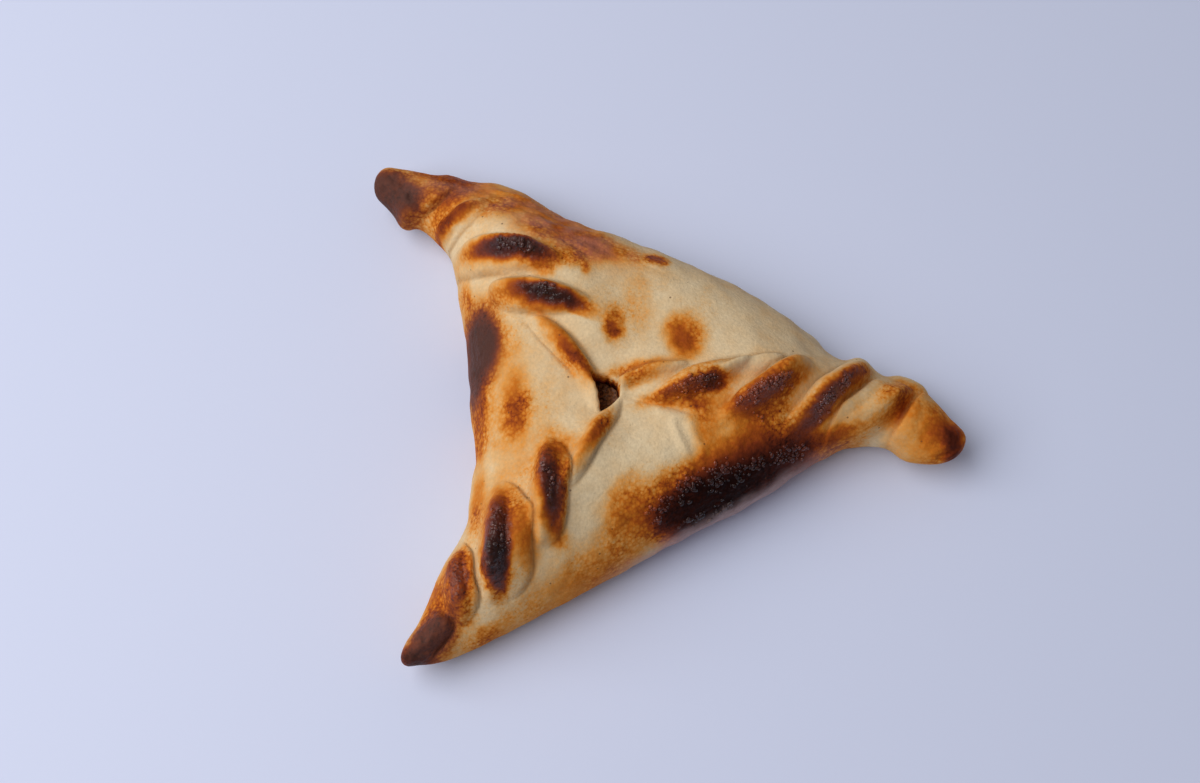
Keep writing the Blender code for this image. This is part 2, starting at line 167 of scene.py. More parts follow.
# Pleats along each seam from the hole outwards, in millimetres. The crest is a curve through
# three plan points, from where the pleat rises out of the seam to its rounded outer end.
# lip: reach to the free edge, on the left of the crest where side is 1, on the right at -1;
# bulb: half width of the round ridge; apron: the part of the height that reaches out to the
# free edge; back: reach of the slope behind; high: crest over the pie; thick: step down at the
# free edge; inner and outer: shares of the length over which the two ends taper; point: how
# pointed the inner end is, from round at 0.25 to sharp at 0.6.
PLEATS = {
    "A1": dict(crest=((-13.0, -7.6), (-17.4, 3.4), (-27.5, 14.8)), side=-1, lip=1.9,
               bulb=1.8, apron=0.6, back=4.5, high=1.5, thick=1.2, inner=0.25, outer=0.45, point=0.5),
    "A2": dict(crest=((-13.2, 15.4), (-24.2, 19.4), (-36.6, 21.4)), side=1, lip=4.8,
               bulb=3.1, apron=0.35, back=3.4, high=3.8, thick=1.5, inner=0.50, outer=0.32, point=0.6),
    "A3": dict(crest=((-20.0, 26.0), (-31.2, 30.2), (-44.9, 33.0)), side=1, lip=5.8,
               bulb=3.1, apron=0.40, back=3.6, high=4.2, thick=1.6, inner=0.50, outer=0.28, point=0.5),
    "A4": dict(crest=((-34.5, 47.2), (-43.2, 41.5), (-49.6, 38.4)), side=1, lip=3.4,
               bulb=2.3, apron=0.35, back=4.5, high=2.8, thick=0.6, inner=0.50, outer=0.30, point=0.5),
    "A5": dict(crest=((-43.5, 50.6), (-50.6, 46.0), (-57.4, 43.0)), side=1, lip=1.3,
               bulb=3.0, apron=0.70, back=14, high=1.3, thick=1.4, inner=0.50, outer=0.12, point=0.5),
    "B0": dict(crest=((-9.9, -2.1), (-4.8, 0.5), (5.0, 2.8)), side=1, lip=1.3,
               bulb=1.7, apron=0.60, back=3.5, high=1.4, thick=1.1, inner=0.25, outer=0.40, point=0.5),
    "B1": dict(crest=((-3.4, -4.3), (6.2, -1.1), (17.5, 3.8)), side=1, lip=2.5,
               bulb=2.9, apron=0.40, back=5.0, high=3.6, thick=1.2, inner=0.45, outer=0.55, point=0.55),
    "B1 end": dict(crest=((11.0, 0.6), (19.5, 3.3), (26.5, 4.3)), side=1, lip=1.3,
                   bulb=1.8, apron=0.90, back=6.0, high=0.8, thick=1.2, inner=0.40, outer=0.30, point=0.5),
    "B2": dict(crest=((9.4, -8.8), (20.0, -2.8), (30.2, 6.0)), side=1, lip=2.5,
               bulb=3.0, apron=0.40, back=6.0, high=4.2, thick=1.3, inner=0.50, outer=0.32, point=0.5),
    "B3": dict(crest=((23.6, -10.2), (34.0, -1.6), (43.6, 8.2)), side=1, lip=2.9,
               bulb=3.0, apron=0.42, back=5.0, high=4.2, thick=1.6, inner=0.50, outer=0.26, point=0.5),
    "B4": dict(crest=((33.2, -11.4), (42.9, -5.6), (51.2, 3.2)), side=1, lip=5.6,
               bulb=3.3, apron=0.50, back=4.2, high=3.2, thick=1.7, inner=0.40, outer=0.24, point=0.45),
    "B5": dict(crest=((47.2, -10.2), (51.6, -4.4), (55.4, 2.0)), side=1, lip=1.3,
               bulb=2.6, apron=0.80, back=14, high=1.5, thick=1.3, inner=0.25, outer=0.25, point=0.4),
    "C1": dict(crest=((-8.2, -3.2), (-14.8, -12.4), (-19.6, -23.4)), side=1, lip=2.3,
               bulb=1.7, apron=0.50, back=3.0, high=1.5, thick=1.3, inner=0.35, outer=0.35, point=0.5),
    "C2": dict(crest=((-22.6, -13.0), (-24.8, -23.4), (-24.4, -35.2)), side=1, lip=5.2,
               bulb=2.9, apron=0.40, back=3.2, high=3.8, thick=1.7, inner=0.30, outer=0.35, point=0.28),
    "C3": dict(crest=((-33.6, -20.8), (-34.9, -33.0), (-34.4, -45.0)), side=1, lip=8.2,
               bulb=3.1, apron=0.40, back=3.6, high=4.4, thick=1.9, inner=0.35, outer=0.28, point=0.28),
    "C4": dict(crest=((-41.8, -31.0), (-42.8, -39.4), (-39.9, -48.4)), side=1, lip=4.5,
               bulb=2.7, apron=0.40, back=3.0, high=3.2, thick=1.5, inner=0.40, outer=0.26, point=0.3),
    "C5": dict(crest=((-43.6, -45.8), (-47.6, -50.6), (-52.6, -55.0)), side=1, lip=2.6,
               bulb=2.8, apron=0.55, back=8.0, high=1.5, thick=1.3, inner=0.18, outer=0.30, point=0.3),
}

# For every pleat: how softly it blends into the pie, its least reach, the width over which its
# free edge steps down, the share of the slope behind that the layer covers, and the crease
# that is pressed in beside the free edge.
PLEAT_BLEND = 0.5 * MM
LEAST_REACH = 0.01 * MM
LIP_STEP = 0.45 * MM
LAYER_BACK = 0.6
CREASE_OFFSET = 0.5 * MM
CREASE_WIDTH = 0.38 * MM
CREASE_DEPTH = 0.8 * MM

# Folds pressed into the dough: a plan curve in millimetres, then width and depth (negative
# depth stands up as a wrinkle).
FOLDS = {
    "corner A twist": ((-55.0, 42.4), (-50.2, 44.5), (-45.0, 47.6), 0.7, 0.5),
    "corner A pit": ((-54.6, 46.4), (-54.4, 47.3), (-54.2, 48.3), 0.9, 0.8),
    "under pleat A3": ((-38.6, 25.4), (-35.0, 24.2), (-31.5, 24.9), 0.6, 0.5),
    "beside lip A1": ((-29.6, 14.6), (-22.5, 6.2), (-17.0, -0.4), 0.7, 0.7),
    "corner B notch": ((57.0, -12.4), (58.7, -11.4), (60.8, -10.6), 1.0, 1.2),
    "corner C fold": ((-42.2, -50.0), (-46.7, -53.1), (-52.2, -54.9), 0.9, 0.9),
    "under B0 and B1": ((-8.6, -3.4), (-1.5, -5.4), (6.0, -7.6), 1.0, 0.8),
    "wrinkle 2": ((-2.0, -7.4), (2.4, -8.4), (7.0, -9.0), 1.5, -0.45),
    "wrinkle 3": ((1.6, -8.4), (3.2, -12.4), (5.2, -16.4), 1.7, -0.5),
    "wrinkle 4": ((4.8, -8.8), (6.3, -12.2), (8.6, -15.4), 1.7, -0.45),
    "A top wrinkle 1": ((-33.5, 45.0), (-27.0, 41.8), (-20.5, 38.0), 1.6, -0.45),
    "A top wrinkle 2": ((-28.5, 38.8), (-21.5, 36.5), (-14.0, 32.6), 1.8, -0.5),
    "A top wrinkle 3": ((-39.0, 49.0), (-32.0, 47.4), (-25.5, 43.4), 1.6, -0.5),
    "A top wrinkle 4": ((-24.5, 33.5), (-19.0, 31.0), (-14.5, 27.0), 1.6, 0.4),
    "far edge bump 1": ((-14.3, 31.5), (-13.3, 34.7), (-12.5, 38.6), 5.0, -0.6),
    "far edge bump 2": ((-2.5, 26.0), (-1.3, 28.5), (0.4, 33.0), 4.5, -0.5),
    "far edge bump 3": ((-31.8, 44.0), (-30.3, 48.0), (-29.3, 51.5), 5.0, -0.6),
    "far edge dent": ((-22.8, 37.5), (-21.8, 41.0), (-20.5, 45.5), 5.0, 0.45),
}
FOLD_STEPS = 16

# Fine ridges left by fingertips across the crests of some pleats: the shares of the crest's
# length between which they lie.
FINGER_MARKS = {"A3": (0.25, 0.70), "B2": (0.35, 0.80), "C2": (0.30, 0.70)}
FINGER_MARK_PITCH = 1.25 * MM
FINGER_MARK_HEIGHT = 0.13 * MM
FINGER_MARK_REACH = 1.8 * MM
FINGER_MARK_FADE = 0.08

# The open triangle: its rim in plan, clockwise, and how its lip rolls down into the shaft.
HOLE_CORNERS = np.array([
    (-14.9, 1.2), (-11.5, 0.8), (-9.2, -0.7), (-8.8, -3.7), (-12.7, -7.3),
]) * MM
HOLE_DEPTH = 6.5 * MM
HOLE_LIP = 0.5 * MM
SHAFT_WALL = (-0.1 * MM, 0.6 * MM)

# The plate that is inflated, its least height above and below its widest line, where the
# smooth distance from the edge takes over, and the cells and how they crowd to the edge.
OUTLINE_STEPS = 6
PLATE_THICKNESS = 1.0 * MM
PLATE_CELL = 0.5 * MM
PLATE_MERGE = 0.02 * MM
LEAST_HEIGHT = 0.4 * MM
EDGE_BLEND = (0.6 * MM, 3 * MM)
POINTS_AT_ONCE = 4000
CRUST_CELL = 0.45 * MM
CRUST_SQUEEZE = 5 * MM


def ease(low, high, value):
    """0 below low, 1 above high, with a smooth rise between."""
    share = np.clip((value - low) / (high - low), 0, 1)
    return share * share * (3 - 2 * share)


def soft_max(a, b, width):
    """The larger of the two, with the corner between them rounded over the width."""
    share = np.clip(0.5 + 0.5 * (a - b) / width, 0, 1)
    return b + (a - b) * share + width * share * (1 - share)


def vertices_of(mesh):
    flat = np.empty(len(mesh.vertices) * 3)
    mesh.vertices.foreach_get("co", flat)
    return flat.reshape(-1, 3)


def normals_of(mesh):
    flat = np.empty(len(mesh.vertices) * 3)
    mesh.vertex_normals.foreach_get("vector", flat)
    return flat.reshape(-1, 3)


def move_vertices(mesh, places):
    mesh.vertices.foreach_set("co", places.ravel())
    mesh.update()


def baked_mesh(obj, name):
    """The object's mesh with its modifiers made real, in a new object; the first one goes."""
    bpy.context.view_layer.update()
    graph = bpy.context.evaluated_depsgraph_get()
    made = in_scene(name, bpy.data.meshes.new_from_object(obj.evaluated_get(graph)))
    bpy.data.objects.remove(obj)
    made.name = name
    return made


def rolled_dough(corners, thickness):
    """A closed plan outline as a curve object: a flat line, or a plate when it is thick."""
    curve = bpy.data.curves.new("outline", "CURVE")
    curve.dimensions = "2D"
    curve.resolution_u = OUTLINE_STEPS
    curve.fill_mode = "BOTH" if thickness else "NONE"
    curve.extrude = thickness / 2
    spline = curve.splines.new("BEZIER")
    spline.bezier_points.add(len(corners) - 1)
    for knot, (x, y) in zip(spline.bezier_points, corners):
        knot.co = (x, y, 0)
        knot.handle_left_type = "AUTO"
        knot.handle_right_type = "AUTO"
    spline.use_cyclic_u = True
    return in_scene("outline", curve)


def outline_points(corners):
    line = baked_mesh(rolled_dough(corners, 0), "line")
    points = vertices_of(line.data)[:, :2]
    bpy.data.objects.remove(line)
    return points


def remeshed(obj, cell):
    modifier = obj.modifiers.new("Remesh", "REMESH")
    modifier.mode = "VOXEL"
    modifier.voxel_size = cell
    return baked_mesh(obj, obj.name)


def edge_distance(plan, outline):
    """For plan points: a distance from the outline that stays smooth in the middle of the
    shape, the plain distance, and the way to the nearest outline point. The smooth one comes
    from a sum over the outline that a straight edge at distance d would make pi / 2 / d**3."""
    step = np.roll(outline, -1, axis=0) - outline
    length = np.hypot(step[:, 0], step[:, 1])
    middle = outline + step / 2
    soft = np.empty(len(plan))
    near = np.empty(len(plan))
    toward = np.empty((len(plan), 2))
    for first in range(0, len(plan), POINTS_AT_ONCE):
        part = slice(first, first + POINTS_AT_ONCE)
        some = plan[part]
        offset = some[:, None] - outline[None]
        share = np.clip((offset * step).sum(2) / length**2, 0, 1)
        gap = share[:, :, None] * step - offset
        far = np.hypot(gap[:, :, 0], gap[:, :, 1])
        closest = far.argmin(axis=1)
        rows = np.arange(len(some))
        near[part] = far[rows, closest]
        toward[part] = gap[rows, closest]
        square = ((some[:, None] - middle[None])**2).sum(2)
        soft[part] = ((length / square**2).sum(1) / (np.pi / 2))**(-1 / 3)
    blend = ease(*EDGE_BLEND, near)
    return near + (soft - near) * blend, near, toward


def hole_radius(plan):
    return np.hypot(plan[:, 0] - HOLE[0], plan[:, 1] - HOLE[1])


def lift(plan):
    """How far the corners curl up off the table."""
    return TIP_LIFT * ease(*LIFT_RADII, hole_radius(plan))


def edge_height(plan):
    """Height of the pie's widest line over its base."""
    return EDGE_HEIGHT + (TIP_EDGE_HEIGHT - EDGE_HEIGHT) * ease(*EDGE_RADII, hole_radius(plan))


def domed(depth, rounding):
    """The share of its height that a dome has at points that lie depth inside its edge."""
    return np.sqrt(1 - (1 - np.clip(depth / rounding, 0, 1))**ROUNDING_POWER)


def curled_base(depth):
    """How far the rounded edge of the base stands up: 1 at the outline, 0 further in."""
    return 1 - np.sqrt(1 - (1 - np.clip(depth / BASE_ROUNDING, 0, 1))**2)


def crust_top(plan, depth):
    """Height of the smooth pie at plan points that lie depth inside its outline."""
    outward = ease(BODY_RADIUS, TIP_RADIUS, hole_radius(plan))
    full = BODY_HEIGHT + (TIP_HEIGHT - BODY_HEIGHT) * outward
    dome = domed(depth, ROUNDING) * (1 + TIP_PLUMPNESS * outward)
    waist = edge_height(plan)
    return lift(plan) + waist + (full - waist) * dome


def crust_bottom(plan, depth):
    return lift(plan) + edge_height(plan) * curled_base(depth)


def inflated(name, corners, top_height, bottom_height, squeeze, cell):
    """A solid over a plan outline: a thin plate of that outline, whose upper and lower faces
    are moved to the two heights. Rows of cells crowd towards the edge, where it is steep."""
    outline = outline_points(corners)
    plate = baked_mesh(rolled_dough(corners, PLATE_THICKNESS), name)
    work = bmesh.new()
    work.from_mesh(plate.data)
    bmesh.ops.remove_doubles(work, verts=work.verts, dist=PLATE_MERGE)
    work.to_mesh(plate.data)
    work.free()
    plate = remeshed(plate, PLATE_CELL)
    places = vertices_of(plate.data)
    plan = places[:, :2].copy()
    _, near, toward = edge_distance(plan, outline)
    crowded = squeeze * (1 - np.cos(np.pi / 2 * np.clip(near / squeeze, 0, 1)))
    pull = np.where(near < squeeze, near - crowded, 0) / np.maximum(near, 1e-9)
    plan += toward * pull[:, None]
    depth = edge_distance(plan, outline)[0]
    level = np.clip(places[:, 2] / (PLATE_THICKNESS / 2), -1, 1)
    waist = bottom_height(plan, 0 * depth)
    rise = np.maximum(top_height(plan, depth) - waist, LEAST_HEIGHT)
    fall = np.maximum(waist - bottom_height(plan, depth), LEAST_HEIGHT)
    height = waist + np.where(level > 0, rise, fall) * level
    move_vertices(plate.data, np.column_stack([plan, height]))
    return remeshed(plate, cell)


def curve_through(start, middle, end, count):
    """Points along a parabola through three plan points given in millimetres."""
    start, middle, end = (np.array(point) * MM for point in (start, middle, end))
    bend = 2 * middle - (start + end) / 2
    share = np.linspace(0, 1, count)[:, None]
    return (1 - share)**2 * start + 2 * share * (1 - share) * bend + share**2 * end


def along_and_across(plan, line):
    """Where plan points lie beside a line: share of its length, and distance to its left."""
    step = line[1:] - line[:-1]
    along = np.zeros(len(plan))
    across = np.full(len(plan), np.inf)
    for index, (origin, way) in enumerate(zip(line[:-1], step)):
        offset = plan - origin
        share = np.clip(offset @ way / (way @ way), 0, 1)
        gap = offset - share[:, None] * way
        distance = np.hypot(gap[:, 0], gap[:, 1])
        closer = distance < np.abs(across)
        left = way[0] * offset[:, 1] - way[1] * offset[:, 0] > 0
        across = np.where(closer, np.where(left, distance, -distance), across)
        along = np.where(closer, (index + share) / len(step), along)
    return along, across


def seam_height(plan):
    """The broad ridge of gathered dough along the three seams."""
    height = np.zeros(len(plan))
    for ends in SEAMS.values():
        along, across = along_and_across(plan, curve_through(*ends, SEAM_STEPS))
        ridge = np.exp(-(across / SEAM_SPREAD)**2) * ease(0, 0.15, along) * (1 - ease(0.75, 1, along))
        height = np.maximum(height, SEAM_HEIGHT * ridge)
    return height


def pleat_frame(plan, pleat):
    """Where plan points lie on a pleat: the distance across its crest, towards the free edge,
    the reach of the free edge there, and the shares of the height at the two ends."""
    along, across = along_and_across(plan, curve_through(*pleat["crest"], SEAM_STEPS))
    rise = ease(0, pleat["inner"], along)
    end = np.sqrt(1 - (1 - np.clip((1 - along) / pleat["outer"], 0, 1))**2)
    lip = pleat["lip"] * MM * rise**pleat["point"] * end + LEAST_REACH
    return across * pleat["side"], lip, rise, end


def add_pleats(plan, height):
    """Heights with the pleats laid over them, each pleat over the outer end of the one before."""
    smooth_pie = height.copy()
    for pleat in PLEATS.values():
        across, lip, rise, end = pleat_frame(plan, pleat)
        full = rise**pleat["point"] * end
        bulb = pleat["bulb"] * MM * full + LEAST_REACH
        ridge = np.maximum(1 - (across / bulb)**2, 0)
        out = np.clip(across / lip, 0, 1)
        apron = np.where(across > 0, np.sqrt(1 - out**4), 1 - ease(0, pleat["back"] * MM, -across))
        body = (1 - pleat["apron"]) * ridge + pleat["apron"] * apron
        layer = pleat["thick"] * MM * full
        layer = layer * (1 - ease(0, LAYER_BACK * pleat["back"] * MM, -across))
        layer = layer * (1 - ease(lip, lip + LIP_STEP, across))
        crease = np.exp(-((across - lip - CREASE_OFFSET) / CREASE_WIDTH)**2)
        height = soft_max(height, smooth_pie + pleat["high"] * MM * rise * end * body, PLEAT_BLEND)
        height = height + layer - CREASE_DEPTH * full * crease
    return height


def press_folds(plan, height):
    for start, middle, end, width, depth in FOLDS.values():
        along, across = along_and_across(plan, curve_through(start, middle, end, FOLD_STEPS))
        ends = np.sqrt(ease(0, 0.25, along) * (1 - ease(0.75, 1, along)))
        height = height - depth * MM * ends * np.exp(-(across / (width / 2 * MM))**2)
    return height


def finger_marks(plan):
    height = np.zeros(len(plan))
    for name, (first, last) in FINGER_MARKS.items():
        crest = curve_through(*PLEATS[name]["crest"], SEAM_STEPS)
        length = np.hypot(*(crest[1:] - crest[:-1]).T).sum()
        along, across = along_and_across(plan, crest)
        where = ease(first - FINGER_MARK_FADE, first + FINGER_MARK_FADE, along)
        where = where * (1 - ease(last - FINGER_MARK_FADE, last + FINGER_MARK_FADE, along))
        where = where * (1 - ease(0.4, 1, np.abs(across) / FINGER_MARK_REACH))
        height += FINGER_MARK_HEIGHT * where * np.sin(2 * np.pi * along * length / FINGER_MARK_PITCH)
    return height


def hole_depth_in(plan):
    """How far plan points lie inside the edge of the hole."""
    inside = np.full(len(plan), np.inf)
    for corner, following in zip(HOLE_CORNERS, np.roll(HOLE_CORNERS, -1, axis=0)):
        way = (following - corner) / np.hypot(*(following - corner))
        offset = plan - corner
        inside = np.minimum(inside, offset[:, 0] * way[1] - offset[:, 1] * way[0])
    return inside


def open_hole(plan, height):
    """The opening between the flaps, whose rounded edges roll down into it."""
    inside = hole_depth_in(plan)
    roll = np.clip(1 + inside / HOLE_LIP, 0, 1)**2 * 0.5 * HOLE_LIP
    shaft = ease(*SHAFT_WALL, inside) * HOLE_DEPTH
    return height - roll - shaft


def unevenness(places, scale, seed):
    """Smooth noise, about -1 to 1, over lengths of scale."""
    noise = mathutils.noise.noise
    shift = mathutils.Vector((seed * 7.3, seed * 3.1, seed * 5.7))
    return np.array([noise(mathutils.Vector(place) / scale + shift) for place in places])


# Browned patches of the crust, by name: plan centre in millimetres, half length and half width
# to where the browning is half as strong, turn in degrees, how brown at most (0 pale, 0.4
# golden, 0.6 brown, 1 burnt black), and how firm the edge is (2 soft, 5 firm). A core or halo
# that starts with a pleat's name stops at the free edge of that pleat. Flour is a pale bloom
# over the browning, and soot greys it.
PATCHES = {
    "corner A soot": (-58.8, 48.7, 7.8, 5, -30, 0.80, 5),
    "corner A pit": (-54, 46, 2, 0.75, -45, 0.40, 2),
    "corner A brown": (-46, 48.5, 7, 4, 10, 0.48, 3),
    "corner A far edge": (-48, 53.5, 9, 2.2, -8, 0.48, 3),
    "A upper": (-36.5, 47.5, 10, 3.25, -20, 0.26, 3),
    "A upper dark": (-35, 46, 4.5, 1.5, -10, 0.15, 2),
    "A4 dark": (-44.5, 40.8, 5.5, 1.75, 25, 0.70, 3),
    "A4 behind": (-34.5, 41.8, 5.5, 2.4, 10, 0.34, 3),
    "A5 gold": (-47.5, 43.5, 4, 2, 40, 0.40, 2),
    "A top zone": (-21, 34.5, 12, 5.3, -30, 0.53, 3),
    "A top far edge": (-24, 43.5, 13, 2.5, -32, 0.28, 3),
    "A top zone 2": (-16.5, 27.5, 5.5, 1.75, 15, 0.22, 3),
    "A top edge": (-9.5, 30, 8, 3, -24, 0.28, 3),
    "A top flour": (-21, 36, 17, 6.5, -30, 0.21, 3),
    "corner A flour": (-45, 50.5, 8, 3.5, -6, 0.20, 3),
    "top spot 3": (-1, 28.5, 2.5, 1.75, -20, 0.55, 4),
    "A3 core": (-30.8, 28.6, 8, 1.75, -10, 0.82, 4),
    "A3 halo": (-31.8, 28.4, 10, 2.7, -13, 0.56, 4),
    "A3 apron": (-37, 26, 4, 0.75, -25, 0.10, 2),
    "A2 core": (-23.5, 17.5, 7, 1.5, -15, 0.90, 4),
    "A2 halo": (-24, 17, 10.5, 2.75, -15, 0.62, 3),
    "left soot": (-38.0, 10.5, 8.2, 4.3, -85, 0.86, 4),
    "left low soot": (-39.5, 2.5, 5, 2, -88, 0.55, 3),
    "left edge top": (-41.5, 22.5, 4, 1.5, -75, 0.36, 2),
    "left edge": (-38, -7, 9, 1.75, -90, 0.45, 3),
    "left warm": (-32.5, -3, 18, 5, -85, 0.23, 4),
    "left freckle": (-30, -6, 6, 2.5, 90, 0.45, 3),
    "left gold": (-24, -7, 8.5, 3.25, 85, 0.12, 2),
    "A1 strip": (-18.9, 5.3, 5.8, 1.35, -51, 0.54, 3),
    "A1 glow": (-18.6, 4.2, 8, 2.2, -52, 0.26, 3),
    "A1 upper": (-24, 12.5, 5, 1, -40, 0.25, 3),
    "A1 rim": (-15, 0.5, 3, 1, -60, 0.24, 3),
    "spot 1": (-10.5, 10.5, 2, 1.4, -85, 0.46, 4),
    "spot 1 halo": (-10, 11, 3.4, 2.6, 90, 0.34, 5),
    "spot 1 lobe": (-9.5, 15, 2, 2, -15, 0.22, 4),
    "faint": (-5, 17.5, 7, 3, -85, 0.14, 5),
    "spot 2": (3.9, 8.7, 4.2, 2.6, -68, 0.38, 3),
    "spot 2 halo": (4.5, 9.5, 5, 4, -75, 0.35, 4),
    "A ring spot": (-16, 24.5, 1, 1.25, 5, 0.40, 3),
    "A2 gap": (-25.3, 24.6, 2.6, 1.5, -35, 0.40, 3),
    # Brown beside the far edge of pleat B0: partly toasting, partly painted shade from that edge.
    "hole strip": (-4.6, 2.3, 7.5, 1.5, 10, 0.42, 3),
    "B0 spots": (-4, -0.3, 4, 1.2, 15, 0.34, 3),
    "B0 tip": (-6.5, -0.5, 2, 1, 15, 0.25, 3),
    "B1 core": (5.6, -2.5, 6.5, 1.0, 13, 0.38, 3),
    "B1 dark end": (9.8, -1.4, 2.4, 1.4, 5, 0.62, 3),
    "B1 halo": (5.2, -2.8, 9, 1.6, 13, 0.44, 3),
    "B1 rim": (7, 0.9, 7.5, 0.9, 19, 0.26, 3),
    "B1 gold": (3.5, -5.2, 6.5, 1.5, 0, 0.28, 3),
    "B1 low gold": (11, -4.8, 5, 2.4, 10, 0.26, 3),
    "B2 core": (20.4, -3.4, 7.2, 1.5, 29, 0.50, 3),
    "B2 halo": (20.8, -3, 10, 2.8, 31, 0.48, 3),
    "B2 rim": (23.5, 1.7, 7, 1.1, 33, 0.24, 3),
    "B2 lower": (20, -7.5, 7, 2.4, 25, 0.44, 3),
    "freckle column": (8.2, -9.8, 5.2, 3, -72, 0.40, 3),
    "B low": (20, -11, 9, 1.75, 15, 0.20, 3),
    "B3 core": (33.8, -3.1, 7, 1.5, 46, 0.66, 3),
    "B3 halo": (34.6, -2, 10, 2.4, 44, 0.42, 3),
    "B3 tip": (40.5, 3.5, 3.5, 1.6, 38, 0.28, 3),
    "B4 halo": (42, -3.5, 7.5, 1.75, 35, 0.16, 3),
    "B4 low dark": (36.5, -8, 3.5, 1, 20, 0.30, 3),
    "B4 band": (44, -5.8, 6, 1.1, 26, 0.34, 3),
    "B4 band end": (49.3, -1.6, 3, 1.1, 58, 0.22, 3),
    "B4 light": (49, -0.5, 4.5, 4, -45, 0.36, 3),
    "B5 crest": (52, 3.5, 3.5, 1.75, -30, 0.26, 3),
    "corner B warm": (53, -7.5, 8.5, 5.5, 60, 0.27, 4),
    "corner B dark": (60.4, -9.2, 4, 2.3, -80, 0.74, 3),
    "corner B halo": (58.6, -9, 6, 4.4, -65, 0.42, 3),
    "front char": (9.5, -22.9, 13.5, 3.7, 26, 0.95, 6),
    "front char brown": (23, -15.5, 10, 3.5, 25, 0.62, 4),
    "front char end": (32.5, -9.5, 6, 1.25, 20, 0.25, 3),
    "front halo": (13.8, -18.2, 21, 5, 25, 0.72, 4),
    "front gold": (-21, -41.5, 17, 2, 30, 0.20, 3),
    "front gold 2": (-13, -36, 12, 3.75, 35, 0.28, 3),
    "front gold end": (-8, -25, 5.5, 3.6, 55, 0.34, 3),
    "C1 strip halo": (-13.2, -12.4, 4.4, 1.3, 60, 0.42, 3),
    "C1 tail halo": (-17.6, -18.6, 3, 1, 60, 0.16, 3),
    "C1 gold halo": (-15.0, -14.4, 6.5, 2.4, 60, 0.28, 3),
    "C2 crown": (-20.6, -15.2, 4, 2.2, 25, 0.26, 3),
    "C2 core": (-22.8, -24, 6.2, 2.15, -80, 0.64, 4),
    "C2 low core": (-22, -28.2, 2.4, 1.4, -80, 0.34, 3),
    "C2 halo": (-22.1, -23.2, 8.8, 4.1, -84, 0.56, 3),
    "C2 foot": (-21.6, -32.3, 3, 1.8, -40, 0.40, 3),
    "C3 core": (-33, -34, 8.5, 2.5, 90, 0.72, 4),
    "C3 low core": (-33.6, -38.6, 4.8, 2.7, 90, 0.84, 5),
    "C3 halo": (-32.5, -31, 8.5, 4.2, -90, 0.42, 3),
    "C3 apron": (-27.5, -34, 6.5, 2.1, -85, 0.38, 3),
    "C4 core": (-41, -41, 5.5, 2.25, 90, 0.50, 4),
    "C4 halo": (-41, -41.5, 7.5, 3.5, 90, 0.40, 4),
    "C4 edge": (-46.5, -44, 6, 2.25, 75, 0.50, 3),
    "left edge low": (-38, -24.5, 6, 1.75, 85, 0.38, 3),
    "corner C soot": (-46.5, -51, 6, 3.5, 40, 0.72, 4),
    "corner C tip": (-50.5, -55, 4.5, 1.8, -20, 0.76, 3),
    "C low edge": (-36.5, -50.5, 10, 1.25, 30, 0.15, 3),
    "C low edge brown": (-36, -50, 3.5, 1.5, 35, 0.25, 3),
    # Paler over the bottom flap: partly its own paler dough, partly painted light.
    "bottom flap": (-8, -19, 14, 7, 30, -0.08, 3),
}
WANDERING = 0.55 * MM

# How brown the crust is elsewhere: its pale top, the painted shade in the creases beside the pleats (a
# brown stain and a grey), the foot of its walls, its underside, and the hole below its rim; and from which
# brown on it can be glazed.
PALE_BROWN = 0.12
CREASE_SHADE_BROWN = 0.38
CREASE_SHADE_SHARE = 0.3
CREASE_SHADE_WIDTH = 0.4 * MM
CREASE_SHADE_GREY = 0.55
FOOT_BROWN = 0.20
FOOT_STAIN = 0.8
FOOT_REACH = (1.5 * MM, 5.5 * MM)
BASE_BROWN = 0.46
BASE_REACH = (0.3 * MM, 1.3 * MM)
HOLE_BROWN = 0.86
HOLE_RIM = 23.2 * MM
GLAZED_FROM = (0.55, 0.75)

# A painted bluish reflection of the paper greys the foot of the burnt front wall, laid on like flour: its
# middle, its way, its half length, how far in it starts, and between which heights it ends.
FRONT_FOOT = np.array([12.5, -22.5]) * MM
FRONT_WAY = np.array([0.87, 0.49])
FRONT_HALF_LENGTH = 22 * MM
FRONT_START = (-8 * MM, -4 * MM)
FRONT_TOP = (6.5 * MM, 13 * MM)

# The colour of the dough as it browns, and of what lies on it. The soot colour also greys the painted
# crease shade, and the flour colour is also the painted reflection at the front foot.
BAKING = [
    (0.00, (0.800, 0.650, 0.430)), (0.13, (0.750, 0.550, 0.320)), (0.25, (0.73, 0.435, 0.185)),
    (0.38, (0.72, 0.305, 0.066)), (0.50, (0.60, 0.180, 0.018)), (0.62, (0.39, 0.084, 0.010)),
    (0.74, (0.21, 0.037, 0.010)), (0.86, (0.085, 0.016, 0.008)), (1.00, (0.014, 0.004, 0.003)),
]
SPECK_COLOUR = (0.12, 0.05, 0.025, 1)
SOOT_AND_SHADE_COLOUR = (0.105, 0.058, 0.048, 1)
FLOUR_AND_REFLECTION_COLOUR = (0.57, 0.40, 0.38, 1)


def within_lip(plan, pleat):
    """1 on a pleat, behind it and off its ends, 0 beyond its free edge."""
    across, lip, _, _ = pleat_frame(plan, pleat)
    lip = np.maximum(lip, 0.7 * pleat["lip"] * MM)
    return 1 - ease(lip - 0.1 * MM, lip + 0.5 * MM, across)


def front_foot_reflection(places, above_base):
    """How far the painted reflection greys the foot of the burnt front wall, up to a ragged edge."""
    offset = places[:, :2] - FRONT_FOOT
    beside = offset @ np.array([FRONT_WAY[1], -FRONT_WAY[0]])
    foot = 0.5**((offset @ FRONT_WAY / FRONT_HALF_LENGTH)**4) * ease(*FRONT_START, beside)
    ragged = above_base + 0.8 * MM * unevenness(places, 2 * MM, 14)
    return foot * (1 - ease(*FRONT_TOP, ragged))


